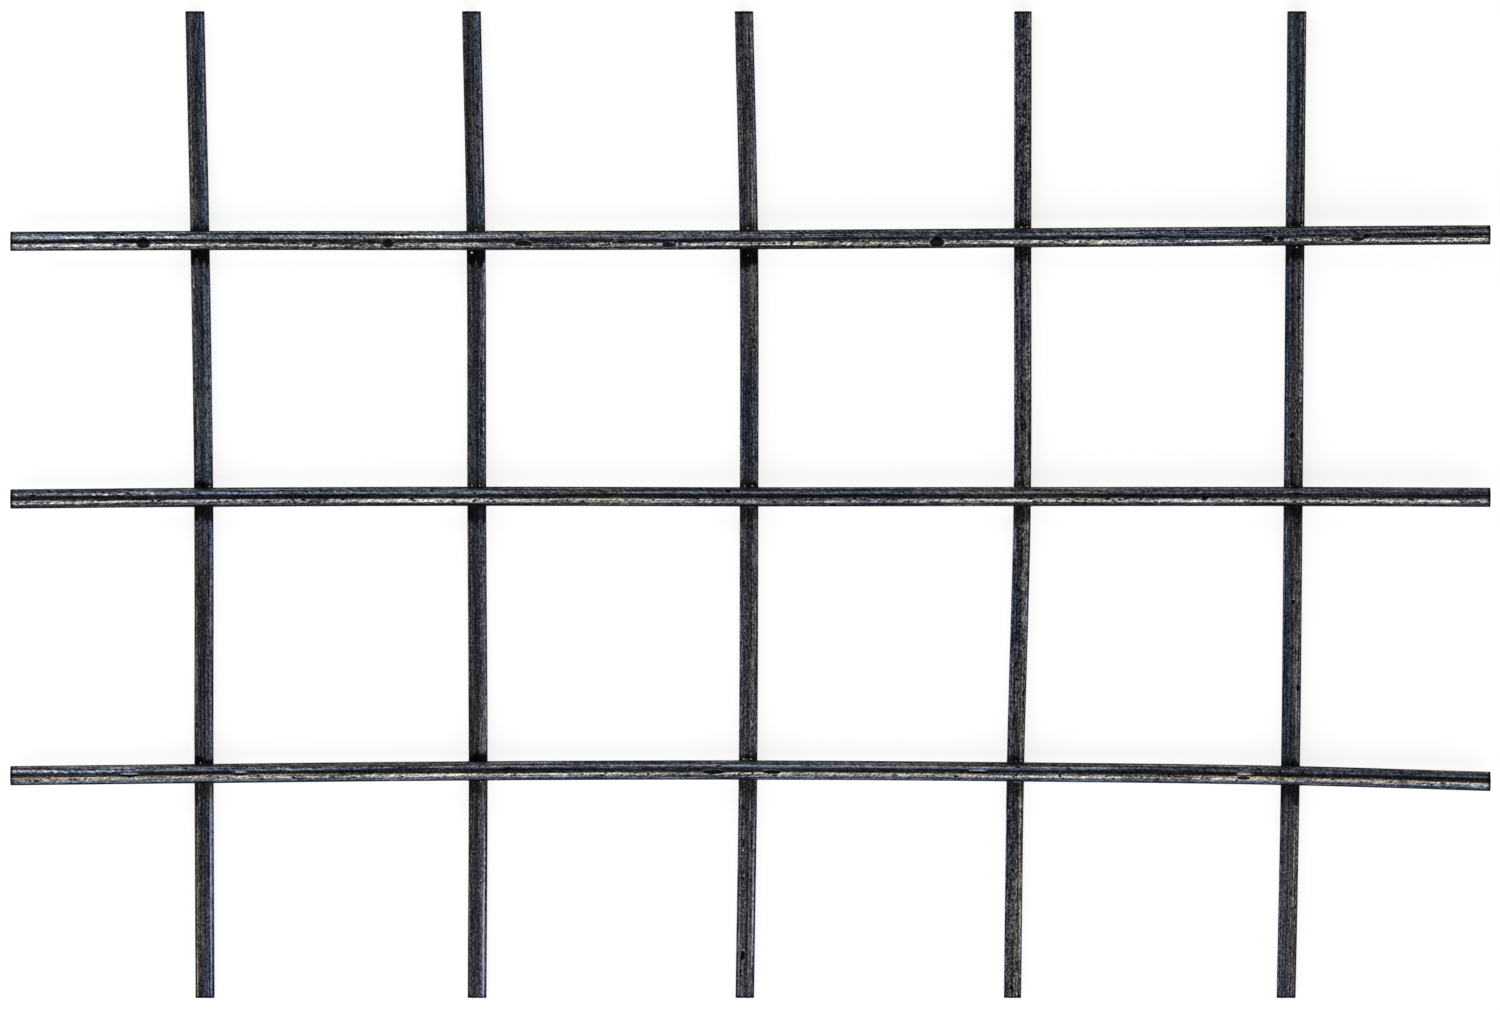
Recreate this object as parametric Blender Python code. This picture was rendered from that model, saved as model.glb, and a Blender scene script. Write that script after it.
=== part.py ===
"""Welded steel mesh panel: round drawn wires in a square grid, welded where they cross.

The panel lies flat, in metres, +Z up. Cross wires run along Y and rest on the floor at z = 0.
Line wires run along X on top of them, and each is pressed a little way into every wire it crosses.
The origin is under the middle of the panel.
"""

import math

import bmesh
import bpy
import numpy as np
from mathutils import Matrix

# Driving dimensions, in metres
WIRE_DIAMETER = 0.00343  # across the flats of the section
CROSS_PITCH = 0.0508  # from one cross wire to the next, along X
LINE_PITCH = 0.0494  # from one line wire to the next, along Y
LINE_OVERHANG = 0.0357  # a line wire's free end, past the outer cross wire
CROSS_OVERHANG = 0.0422  # a cross wire's free end, past the outer line wire
SET_DOWN = 0.0006  # how far the weld presses the two wires into each other
FLASH_REACH = 0.00115  # squeezed-out metal, past the edge of the weld
FLASH_HEIGHT = 0.0015  # squeezed-out metal, over the weld's thickness

# How far each wire strays from its place in the grid, in millimetres: at one end, at each weld and at the other end
CROSS_STRAY = (
    (0.35, 0.15, 0.1, -0.6, -1.55),
    (0.05, 0.25, 0.0, -0.15, -1.0),
    (-1.05, -0.45, -0.25, -0.3, -1.2),
    (-2.15, -1.6, -0.35, -0.25, -0.2),
    (-2.15, -1.35, -0.85, -0.5, -0.15),
)
LINE_STRAY = (
    (-0.9, -0.5, 0.0, 0.15, -0.2, -0.9, -1.95),
    (1.05, 1.35, 1.55, 1.45, 1.5, 1.5, 1.35),
    (-0.55, -0.4, -0.4, -0.25, 0.1, 0.45, 0.65),
)
MILLIMETRE = 0.001

# Facets
WIRE_SIDES = 16
RINGS_PER_SPAN = 3
FLASH_SEGMENTS = 12
FLASH_RINGS = 6

STEEL_COLOUR = (0.11, 0.113, 0.122, 1.0)
STEEL_METALLIC = 0.9
STEEL_ROUGHNESS = 0.32
SHARP_ANGLE = math.radians(40)  # a wire's end keeps its edge, and its side is shaded round

wire_radius = WIRE_DIAMETER / 2
cross_level = wire_radius
line_level = cross_level + WIRE_DIAMETER - SET_DOWN
weld_level = (cross_level + line_level) / 2
weld_half_width = math.sqrt(wire_radius**2 - (wire_radius - SET_DOWN / 2) ** 2)


def grid_places(count, pitch):
    """The even places of count wires, centred on the origin."""
    return (np.arange(count) - (count - 1) / 2) * pitch


def stations(places, overhang):
    """Along a wire: its one end, the wires it crosses and its other end."""
    return np.concatenate([[places[0] - overhang], places, [places[-1] + overhang]])


def smooth_through(marks, values, at):
    """A smooth curve through the values at the marks, read at any place between them."""
    slopes = np.gradient(values, marks)
    span = np.clip(np.searchsorted(marks, at) - 1, 0, len(marks) - 2)
    length = marks[span + 1] - marks[span]
    t = (at - marks[span]) / length
    return (
        values[span] * (1 + 2 * t) * (1 - t) ** 2
        + slopes[span] * length * t * (1 - t) ** 2
        + values[span + 1] * t**2 * (3 - 2 * t)
        + slopes[span + 1] * length * t**2 * (t - 1)
    )


class Wire:
    """One wire's centre line, which bends only in the plane of the panel."""

    def __init__(self, place, marks, stray):
        self.place = place
        self.marks = marks
        self.stray = np.array(stray) * MILLIMETRE

    def side(self, along):
        """How far to the side of the origin the wire is at this place along it."""
        return self.place + smooth_through(self.marks, self.stray, along)

    def rings(self):
        """Where the wire's section is set, from its one end to its other."""
        count = RINGS_PER_SPAN * (len(self.marks) - 1) + 1
        return np.interp(np.arange(count) / RINGS_PER_SPAN, np.arange(len(self.marks)), self.marks)


def wires():
    """The cross wires and the line wires, each from the low end of its axis."""
    cross_places = grid_places(len(CROSS_STRAY), CROSS_PITCH)
    line_places = grid_places(len(LINE_STRAY), LINE_PITCH)
    line_marks = stations(cross_places, LINE_OVERHANG)
    cross_marks = stations(line_places, CROSS_OVERHANG)
    cross = [Wire(place, cross_marks, stray) for place, stray in zip(cross_places, CROSS_STRAY)]
    line = [Wire(place, line_marks, stray) for place, stray in zip(line_places, LINE_STRAY)]
    return cross, line


def add_wire(bm, points, facing):
    """Sweeps the round section through the points. Its rings all face one way, so both ends are cut flush."""
    half_step = math.pi / WIRE_SIDES
    corner_radius = wire_radius / math.cos(half_step)
    flat_down = Matrix.Rotation(half_step, 4, "Z")
    rings = []
    for point in points:
        made = bmesh.ops.create_circle(
            bm,
            segments=WIRE_SIDES,
            radius=corner_radius,
            matrix=Matrix.Translation(point) @ facing @ flat_down,
        )
        rings.append(list({edge for vert in made["verts"] for edge in vert.link_edges}))
    for ring, following in zip(rings, rings[1:]):
        bmesh.ops.bridge_loops(bm, edges=ring + following)
    for end in (rings[0], rings[-1]):
        bmesh.ops.contextual_create(bm, geom=end)


def add_weld_flash(bm, x, y):
    """The lens of metal that the weld squeezes out between two wires."""
    reach = weld_half_width + FLASH_REACH
    flattened = Matrix.Diagonal((reach, reach, FLASH_HEIGHT / 2, 1))
    bmesh.ops.create_uvsphere(
        bm,
        u_segments=FLASH_SEGMENTS,
        v_segments=FLASH_RINGS,
        radius=1,
        matrix=Matrix.Translation((x, y, weld_level)) @ flattened,
    )


def crossing(cross, line):
    """Where the centre lines of two wires cross, seen from above."""
    y = line.side(cross.place)
    x = cross.side(y)
    return float(x), float(line.side(x))


def steel():
    """Dark drawn steel, as it comes from the mill."""
    material = bpy.data.materials.new("dark_drawn_steel")
    material.use_nodes = True
    shader = material.node_tree.nodes["Principled BSDF"]
    shader.inputs["Base Color"].default_value = STEEL_COLOUR
    shader.inputs["Metallic"].default_value = STEEL_METALLIC
    shader.inputs["Roughness"].default_value = STEEL_ROUGHNESS
    return material


def make_object(name, bm, material):
    """Turns a finished bmesh into a smooth-shaded object, and frees it."""
    bmesh.ops.recalc_face_normals(bm, faces=bm.faces)
    mesh = bpy.data.meshes.new(name)
    bm.to_mesh(mesh)
    bm.free()
    mesh.materials.append(material)
    mesh.shade_smooth()
    mesh.set_sharp_from_angle(angle=SHARP_ANGLE)
    made = bpy.data.objects.new(name, mesh)
    bpy.context.scene.collection.objects.link(made)
    return made


def fuse(base, helper):
    """Joins a helper's shape into the base, as the weld does."""
    helper.hide_render = True
    helper.display_type = "WIRE"
    union = base.modifiers.new("fuse_" + helper.name, "BOOLEAN")
    union.operation = "UNION"
    union.solver = "EXACT"
    union.object = helper


def build():
    for old in list(bpy.data.objects):
        bpy.data.objects.remove(old)
    material = steel()
    cross, line = wires()

    along_x = Matrix.Rotation(math.pi / 2, 4, "Y")
    line_shapes = bmesh.new()
    for wire in line:
        points = [(along, wire.side(along), line_level) for along in wire.rings()]
        add_wire(line_shapes, points, along_x)

    along_y = Matrix.Rotation(math.pi / 2, 4, "X")
    cross_shapes = bmesh.new()
    for wire in cross:
        points = [(wire.side(along), along, cross_level) for along in wire.rings()]
        add_wire(cross_shapes, points, along_y)

    flash_shapes = bmesh.new()
    for upright in cross:
        for level in line:
            add_weld_flash(flash_shapes, *crossing(upright, level))

    panel = make_object("mesh_panel", line_shapes, material)
    fuse(panel, make_object("cross_wires", cross_shapes, material))
    fuse(panel, make_object("weld_flash", flash_shapes, material))


build()
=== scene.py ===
"""The looks of the welded steel mesh panel.

Dark drawn wire with its die lines, pits, dents and scratches, burnt and spattered welds, and sheared ends.
Its colour also holds painted highlights, a painted dark reflection along the tops, painted shade on the
flanks and painted shadows of the line wires on the cross wires.
"""

import math

import bpy
import numpy as np
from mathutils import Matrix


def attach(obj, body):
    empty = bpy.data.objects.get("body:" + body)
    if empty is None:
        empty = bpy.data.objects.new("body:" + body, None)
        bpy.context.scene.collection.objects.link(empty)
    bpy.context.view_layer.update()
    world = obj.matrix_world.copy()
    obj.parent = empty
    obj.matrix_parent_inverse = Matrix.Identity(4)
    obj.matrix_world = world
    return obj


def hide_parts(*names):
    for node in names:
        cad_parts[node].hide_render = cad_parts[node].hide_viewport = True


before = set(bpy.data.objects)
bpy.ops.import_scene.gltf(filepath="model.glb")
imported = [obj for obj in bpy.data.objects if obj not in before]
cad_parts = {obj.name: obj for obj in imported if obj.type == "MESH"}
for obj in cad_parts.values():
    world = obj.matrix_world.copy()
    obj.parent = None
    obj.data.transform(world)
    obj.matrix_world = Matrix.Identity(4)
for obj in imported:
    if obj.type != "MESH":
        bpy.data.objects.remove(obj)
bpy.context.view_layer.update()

# The grid, in metres, as the solid has it
WIRE_DIAMETER = 0.00343
CROSS_PITCH = 0.0508
LINE_PITCH = 0.0494
LINE_OVERHANG = 0.0357
CROSS_OVERHANG = 0.0422
SET_DOWN = 0.0006
MM = 0.001

# How far each wire strays from its place in the grid, in millimetres: at one end, at each weld and at the
# other end
CROSS_STRAY = (
    (0.35, 0.15, 0.1, -0.6, -1.55),
    (0.05, 0.25, 0.0, -0.15, -1.0),
    (-1.05, -0.45, -0.25, -0.3, -1.2),
    (-2.15, -1.6, -0.35, -0.25, -0.2),
    (-2.15, -1.35, -0.85, -0.5, -0.15),
)
LINE_STRAY = (
    (-0.9, -0.5, 0.0, 0.15, -0.2, -0.9, -1.95),
    (1.05, 1.35, 1.55, 1.45, 1.5, 1.5, 1.35),
    (-0.55, -0.4, -0.4, -0.25, 0.1, 0.45, 0.65),
)
# The wires as they measure, in millimetres, which is a little over or under their gauge
CROSS_DIAMETERS = (3.57, 3.53, 3.46, 3.25, 3.55)
LINE_DIAMETERS = (3.61, 3.61, 3.61)

# The mesh is closer on the seen side of a wire, up to this many degrees from its top, than underneath
SEEN_REACH = 100
SEEN_SIDES = 44
UNDER_SIDES = 12
SIDES = SEEN_SIDES + UNDER_SIDES
LINE_RINGS = 1300
CROSS_RINGS = 820
# The even rings start this far in from a wire's ends
END_ZONE = 0.25 * MM
END_ROUNDING = 0.10 * MM
TEAR_DEPTH = 0.05 * MM
# Each wire takes its grain from its own stretch of the pattern, this many mm further on
PATTERN_SHIFT = 300
BAKE_MAP = "OFBake"
# A face's corners: how many rings and sides on from its first one
QUAD_CORNERS = ((0, 0), (0, 1), (1, 1), (1, 0))
WIRE_SEED = 4100
WELD_SEED = 77

wire_radius = WIRE_DIAMETER / 2
line_level = wire_radius + WIRE_DIAMETER - SET_DOWN


# The wires' centre lines

def grid_places(count, pitch):
    """The even places of count wires, centred on the origin."""
    return (np.arange(count) - (count - 1) / 2) * pitch


def stations(places, overhang):
    """Along a wire: its one end, the wires it crosses and its other end."""
    return np.concatenate([[places[0] - overhang], places, [places[-1] + overhang]])


def smooth_through(marks, values, at):
    """A smooth curve through the values at the marks, the same as in the solid."""
    slopes = np.gradient(values, marks)
    span = np.clip(np.searchsorted(marks, at) - 1, 0, len(marks) - 2)
    length = marks[span + 1] - marks[span]
    t = (at - marks[span]) / length
    return (
        values[span] * (1 + 2 * t) * (1 - t) ** 2
        + slopes[span] * length * t * (1 - t) ** 2
        + values[span + 1] * t**2 * (3 - 2 * t)
        + slopes[span + 1] * length * t**2 * (t - 1)
    )


cross_places = grid_places(len(CROSS_STRAY), CROSS_PITCH)
line_places = grid_places(len(LINE_STRAY), LINE_PITCH)


class Wire:
    """A wire's centre line, its thickness and which way it runs.

    Turn is the angle round the wire from straight up, towards the front for a line wire and to the right for
    a cross wire.
    """

    def __init__(self, kind, number, place, stray, diameter, marks):
        self.name = f"{kind}_wire_{number}"
        self.key = f"{kind} {number}"
        self.number = number
        self.is_line = kind == "line"
        self.place = place
        self.stray = np.array(stray) * MM
        self.marks = marks
        self.radius = diameter * MM / 2
        self.level = line_level if self.is_line else self.radius

    def side(self, along):
        return self.place + smooth_through(self.marks, self.stray, along)

    def points(self, along, across, up):
        """Points so far along the wire, across it to the front or the right, and up from its middle."""
        if self.is_line:
            return np.stack([along, self.side(along) - across, self.level + up], -1)
        return np.stack([self.side(along) + across, along, self.level + up], -1)


def make_wires():
    """The line wires from front to back, then the cross wires from left to right."""
    line_marks = stations(cross_places, LINE_OVERHANG)
    cross_marks = stations(line_places, CROSS_OVERHANG)
    lines = enumerate(zip(line_places, LINE_STRAY, LINE_DIAMETERS), 1)
    crosses = enumerate(zip(cross_places, CROSS_STRAY, CROSS_DIAMETERS), 1)
    found = [Wire("line", number, *one, line_marks) for number, one in lines]
    return found + [Wire("cross", number, *one, cross_marks) for number, one in crosses]


# Smooth random values over a wire

def lattice_weights(at, cells, joined):
    """How much each lattice point counts at each place, with the places in units of one cell."""
    low = np.floor(at).astype(int)
    t = at - low
    t = t * t * (3 - 2 * t)
    high = low + 1
    if joined:
        low, high = low % cells, high % cells
    weights = np.zeros((len(at), cells))
    rows = np.arange(len(at))
    weights[rows, np.clip(low, 0, cells - 1)] += 1 - t
    weights[rows, np.clip(high, 0, cells - 1)] += t
    return weights


def wire_noise(rng, along, turn, cell_length, cells_round):
    """Smooth random values from -1 to 1 on every ring and side, joined up round the wire."""
    start = along.min()
    cells = int((along.max() - start) / cell_length) + 3
    lattice = rng.uniform(-1, 1, (cells, cells_round))
    lengthwise = lattice_weights((along - start) / cell_length, cells, False)
    around = lattice_weights((turn / math.tau % 1) * cells_round, cells_round, True)
    return lengthwise @ lattice @ around.T


def smoothstep(low, high, x):
    """0 below low, 1 above high, and smooth between them."""
    t = np.clip((x - low) / (high - low), 0, 1)
    return t * t * (3 - 2 * t)


def hump(low, high, soft, x):
    """1 between low and high, and 0 further out, over a soft edge."""
    return smoothstep(low - soft, low + soft, x) * (1 - smoothstep(high - soft, high + soft, x))


# Marks on the wires

# The relief's random waves: how high they are in mm, a cell's length in metres, and how many cells go round
RELIEF_WAVES = (
    (0.010, 0.014, 3),
    (0.005, 0.0030, 8),
    (0.003, 0.0010, 18),
    (0.002, 0.0006, 26),
)
# Each dent: the wire, its place along the wire and across the seen face, its half length, half width and
# depth, all in mm, and how dark it is
DENTS = (
    ("line 3", -112.6, 0.50, 1.42, 1.16, 0.16, 1.0),
    ("line 3", -114.4, 0.15, 1.20, 0.24, 0.04, 0.9),
    ("line 3", -67.3, 0.55, 1.04, 1.08, 0.17, 1.0),
    ("line 3", 34.6, 0.70, 1.34, 1.24, 0.18, 1.0),
    ("line 3", -118.0, 0.72, 0.30, 0.26, 0.05, 1.0),
    ("line 3", -90.8, 0.05, 1.9, 0.50, 0.06, 0.6),
    ("line 3", -80.7, 1.05, 0.55, 0.28, 0.05, 1.0),
    ("line 3", -42.2, 0.56, 1.7, 0.55, 0.07, 1.0),
    ("line 3", -30.3, 1.05, 0.35, 0.22, 0.04, 1.0),
    ("line 3", -26.2, 0.75, 0.30, 0.22, 0.04, 1.0),
    ("line 3", -24.0, 0.25, 0.60, 0.18, 0.04, 1.0),
    ("line 3", -15.1, 0.95, 1.4, 0.56, 0.06, 1.0),
    ("line 3", 4.4, 0.70, 0.28, 0.22, 0.04, 1.0),
    ("line 3", 7.6, 0.60, 0.34, 0.80, 0.05, 0.9),
    ("line 3", 17.0, 0.50, 0.35, 0.20, 0.04, 1.0),
    ("line 3", 58.5, 1.15, 0.55, 0.20, 0.04, 0.9),
    ("line 3", 96.0, 0.66, 1.30, 0.80, 0.12, 1.0),
    ("line 3", 98.4, 0.45, 0.70, 0.50, 0.06, 0.8),
    ("line 3", 112.6, 0.62, 1.2, 0.42, 0.07, 1.0),
    ("line 2", -62.8, 0.40, 0.40, 0.28, 0.05, 1.0),
    ("line 2", -4.1, -1.10, 0.60, 0.42, 0.08, 1.0),
    ("line 2", 15.3, 1.52, 0.80, 0.40, 0.06, 1.0),
    ("line 2", 84.3, 0.12, 0.52, 0.44, 0.07, 1.0),
    ("line 2", 93.3, 0.40, 0.35, 0.24, 0.04, 0.9),
    ("line 2", 101.0, 0.95, 0.36, 0.30, 0.06, 1.0),
    ("line 2", 101.5, -0.50, 0.80, 0.30, 0.04, 0.7),
    ("line 1", -132.4, 1.05, 0.50, 0.26, 0.05, 1.0),
    ("line 1", -115.0, 0.12, 2.3, 0.20, 0.05, 1.0),
    ("line 1", -94.8, 0.05, 1.8, 0.26, 0.06, 1.0),
    ("line 1", -91.3, 0.50, 0.34, 0.26, 0.05, 1.0),
    ("line 1", -84.6, 0.97, 0.30, 0.30, 0.05, 1.0),
    ("line 1", -73.4, 1.02, 0.42, 0.22, 0.04, 0.8),
    ("line 1", -58.9, -0.45, 1.3, 0.24, 0.04, 0.3),
    ("line 1", -44.8, -0.30, 1.9, 0.15, 0.04, 0.9),
    ("line 1", -27.5, 0.95, 0.34, 0.26, 0.05, 1.0),
    ("line 1", -6.8, 0.28, 2.2, 0.42, 0.08, 1.0),
    ("line 1", 4.0, 0.26, 1.8, 0.38, 0.08, 1.0),
    ("line 1", 38.2, 0.97, 0.50, 0.24, 0.05, 1.0),
    ("line 1", 42.0, 0.05, 2.0, 0.24, 0.06, 1.0),
    ("line 1", 48.8, 0.95, 0.26, 0.22, 0.04, 0.9),
    ("line 1", 57.4, 0.50, 0.30, 0.60, 0.04, 0.9),
    ("line 1", 91.4, 0.55, 1.20, 0.34, 0.08, 1.0),
    ("cross 3", -83.6, -0.5, 0.9, 0.40, 0.10, 1.0),
    ("cross 5", -34.0, 1.2, 0.8, 0.45, 0.08, 1.0),
    ("cross 5", -18.0, 0.1, 0.5, 0.4, 0.08, 1.0),
    ("cross 5", 12.9, -0.3, 0.7, 0.55, 0.08, 0.9),
)
# A dent with a larger half width than this has a lighter bottom
WIDE_DENT = 0.8
# Scratches and spots: the wire, its place in mm along it and degrees of turn, half length and half width in
# mm, how far it slants, and how much lighter (or darker) it is. The lighter ones are mostly painted
# highlights on the rims of dents and scratches.
SCRATCHES = (
    ("line 3", -64.7, -31, 0.40, 0.25, 0.0, -0.30),
    ("line 3", -74.7, 44, 0.90, 0.20, 0.0, -0.25),
    ("line 3", 33.8, -20, 0.90, 0.16, 0.6, 0.24),
    ("line 3", -90.8, -18, 1.60, 0.12, 0.0, 0.12),
    ("line 3", 42.0, 18, 5.50, 0.14, 0.0, 0.10),
    ("line 3", 114.2, 5, 0.60, 0.45, 0.8, -0.20),
    ("line 2", -113.3, 8, 2.20, 0.15, 0.0, -0.25),
    ("line 2", -110.5, 8, 0.40, 0.60, -0.8, 0.14),
    ("line 2", -34.0, 24, 0.30, 0.30, 0.0, -0.30),
    ("line 1", -115.0, -4, 2.00, 0.15, 0.0, 0.45),
    ("line 1", -94.8, -7, 1.60, 0.15, 0.0, 0.45),
    ("line 1", -58.9, -22, 1.40, 0.15, 0.0, 0.24),
    ("line 1", 42.2, -8, 2.00, 0.15, 0.0, 0.40),
    ("line 1", 57.3, -4, 0.30, 0.16, 0.0, 0.30),
    ("line 1", 70.1, 30, 1.20, 0.20, 0.3, -0.15),
    ("line 1", 91.5, -6, 2.00, 0.17, 0.0, 0.55),
    ("cross 1", -46.0, -38, 3.00, 0.12, 0.0, -0.12),
    ("cross 2", -34.0, 0, 2.60, 0.14, 0.0, -0.15),
    ("cross 3", -56.0, -30, 1.00, 0.20, 0.0, -0.20),
)
# A scratch lighter than this is also a raised ridge that catches the light, under its painted highlight
RIDGE_FROM = 0.2
RIDGE_HEIGHT = 0.045 * MM
# How much each wire's scale varies from light to dark
UNEVENNESS = {
    "line 1": 1.2, "line 2": 1.2, "line 3": 1.5,
    "cross 1": 1.8, "cross 2": 1.8, "cross 3": 2.0, "cross 4": 2.5, "cross 5": 1.9,
}
# Rows of small pits: the wire, from and to in mm along it, the row's middle and half width in degrees of
# turn, and how many pits
PIT_ROWS = (
    ("line 3", -137, 137, 20, 12, 60),
    ("line 3", -137, -60, 36, 5, 22),
    ("line 3", -137, 137, -25, 14, 24),
    ("line 3", 99, 110, 26, 8, 10),
    ("line 3", 52, 66, 24, 9, 9),
    ("line 2", -137, 137, 14, 5, 80),
    ("line 2", -137, 137, 25, 8, 24),
    ("line 2", -137, 137, 34, 6, 64),
    ("line 2", -137, 137, -28, 14, 22),
    ("line 1", -137, 137, 24, 12, 60),
    ("line 1", -137, 137, -25, 14, 30),
    ("line 1", -92, -72, 40, 6, 8),
    ("cross 1", -92, 92, 0, 40, 34),
    ("cross 2", -92, 92, 0, 40, 30),
    ("cross 2", 60, 90, 26, 5, 14),
    ("cross 2", -15, -8, 30, 8, 6),
    ("cross 3", -92, 92, 0, 40, 30),
    ("cross 3", -92, -53, -26, 4, 16),
    ("cross 3", 6, 13, 10, 20, 7),
    ("cross 3", 30, 37, 10, 20, 7),
    ("cross 4", -92, 92, -14, 14, 90),
    ("cross 4", -46, -4, -10, 20, 40),
    ("cross 4", 56, 90, -8, 20, 60),
    ("cross 5", -92, 92, 0, 40, 30),
    ("cross 5", 17, 25, 42, 5, 7),
)
PIT_DEPTH = 0.03 * MM
# Rows of small slanting glints, painted highlights in the colour: the wire, from and to in mm along it, the
# row's middle and half width in degrees of turn, how many glints, and how light they are at most
GLINT_ROWS = (
    ("line 3", -128, -104, -20, 6, 46, 0.18),
    ("line 3", -69, -57, -20, 6, 30, 0.34),
    ("line 3", 60, 96, 20, 4, 20, 0.12),
    ("line 3", -137, 137, 24, 12, 160, 0.12),
    ("line 2", -126, -108, -18, 4, 26, 0.24),
    ("line 2", -137, 137, 26, 12, 300, 0.12),
    ("line 1", -137, 137, 28, 12, 200, 0.12),
    ("line 1", -131, -116, -16, 5, 34, 0.26),
    ("line 1", -92, -70, -20, 6, 16, 0.16),
    ("line 1", 20, 60, -22, 6, 16, 0.14),
    ("cross 2", -15, -8, 36, 4, 8, 0.14),
    ("cross 2", 8, 22, 46, 2, 14, 0.40),
    ("cross 2", 22, 36, 44, 3, 10, 0.25),
    ("cross 2", -76, -60, 45, 2, 18, 0.40),
    ("cross 3", -86, -62, 45, 2, 12, 0.25),
)
GLINT_HALF_WIDTH = 0.26 * MM
# The line wires' painted dark reflection along the top: where it starts and ends in degrees of turn, where
# the painted shade on the front flank starts, and how warm the front side is
LINE_LOOKS = {
    "line 1": (-9, 9, 58, -0.25),
    "line 2": (-14, 8, 45, 0.0),
    "line 3": (-3, 12, 47, 0.15),
}
# How much painted light each cross wire's left and right sides get (painted shade below 0), and how warm
# each is
CROSS_LOOKS = {
    "cross 1": (-0.01, 0.0, 0.45, -0.5),
    "cross 2": (-0.06, 0.03, 0.3, -0.35),
    "cross 3": (0.0, -0.01, 0.0, -0.1),
    "cross 4": (0.0, -0.01, -0.3, 0.2),
    "cross 5": (0.03, -0.04, -0.4, 0.3),
}
# How dark each cross wire is in front of and behind line wires 1, 2 and 3: burnt by the welds, and in front
# also painted with the line wire's shadow
BURNS_AND_SHADOWS = {
    "cross 1": ((0.28, 0.85), (0.62, 0.80), (0.88, 0.72)),
    "cross 2": ((0.25, 0.85), (0.55, 0.25), (0.88, 0.40)),
    "cross 3": ((0.26, 0.62), (0.35, 0.55), (0.90, 0.55)),
    "cross 4": ((0.38, 0.50), (0.38, 0.22), (0.50, 0.60)),
    "cross 5": ((0.55, 0.70), (0.48, 0.42), (0.65, 0.50)),
}
# Line wires are burnt the same at every weld
LINE_BURN = (0.55, 0.55)
# How much wider a weld squeezed its wires
WELD_SQUEEZE = 0.03 * MM
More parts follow.
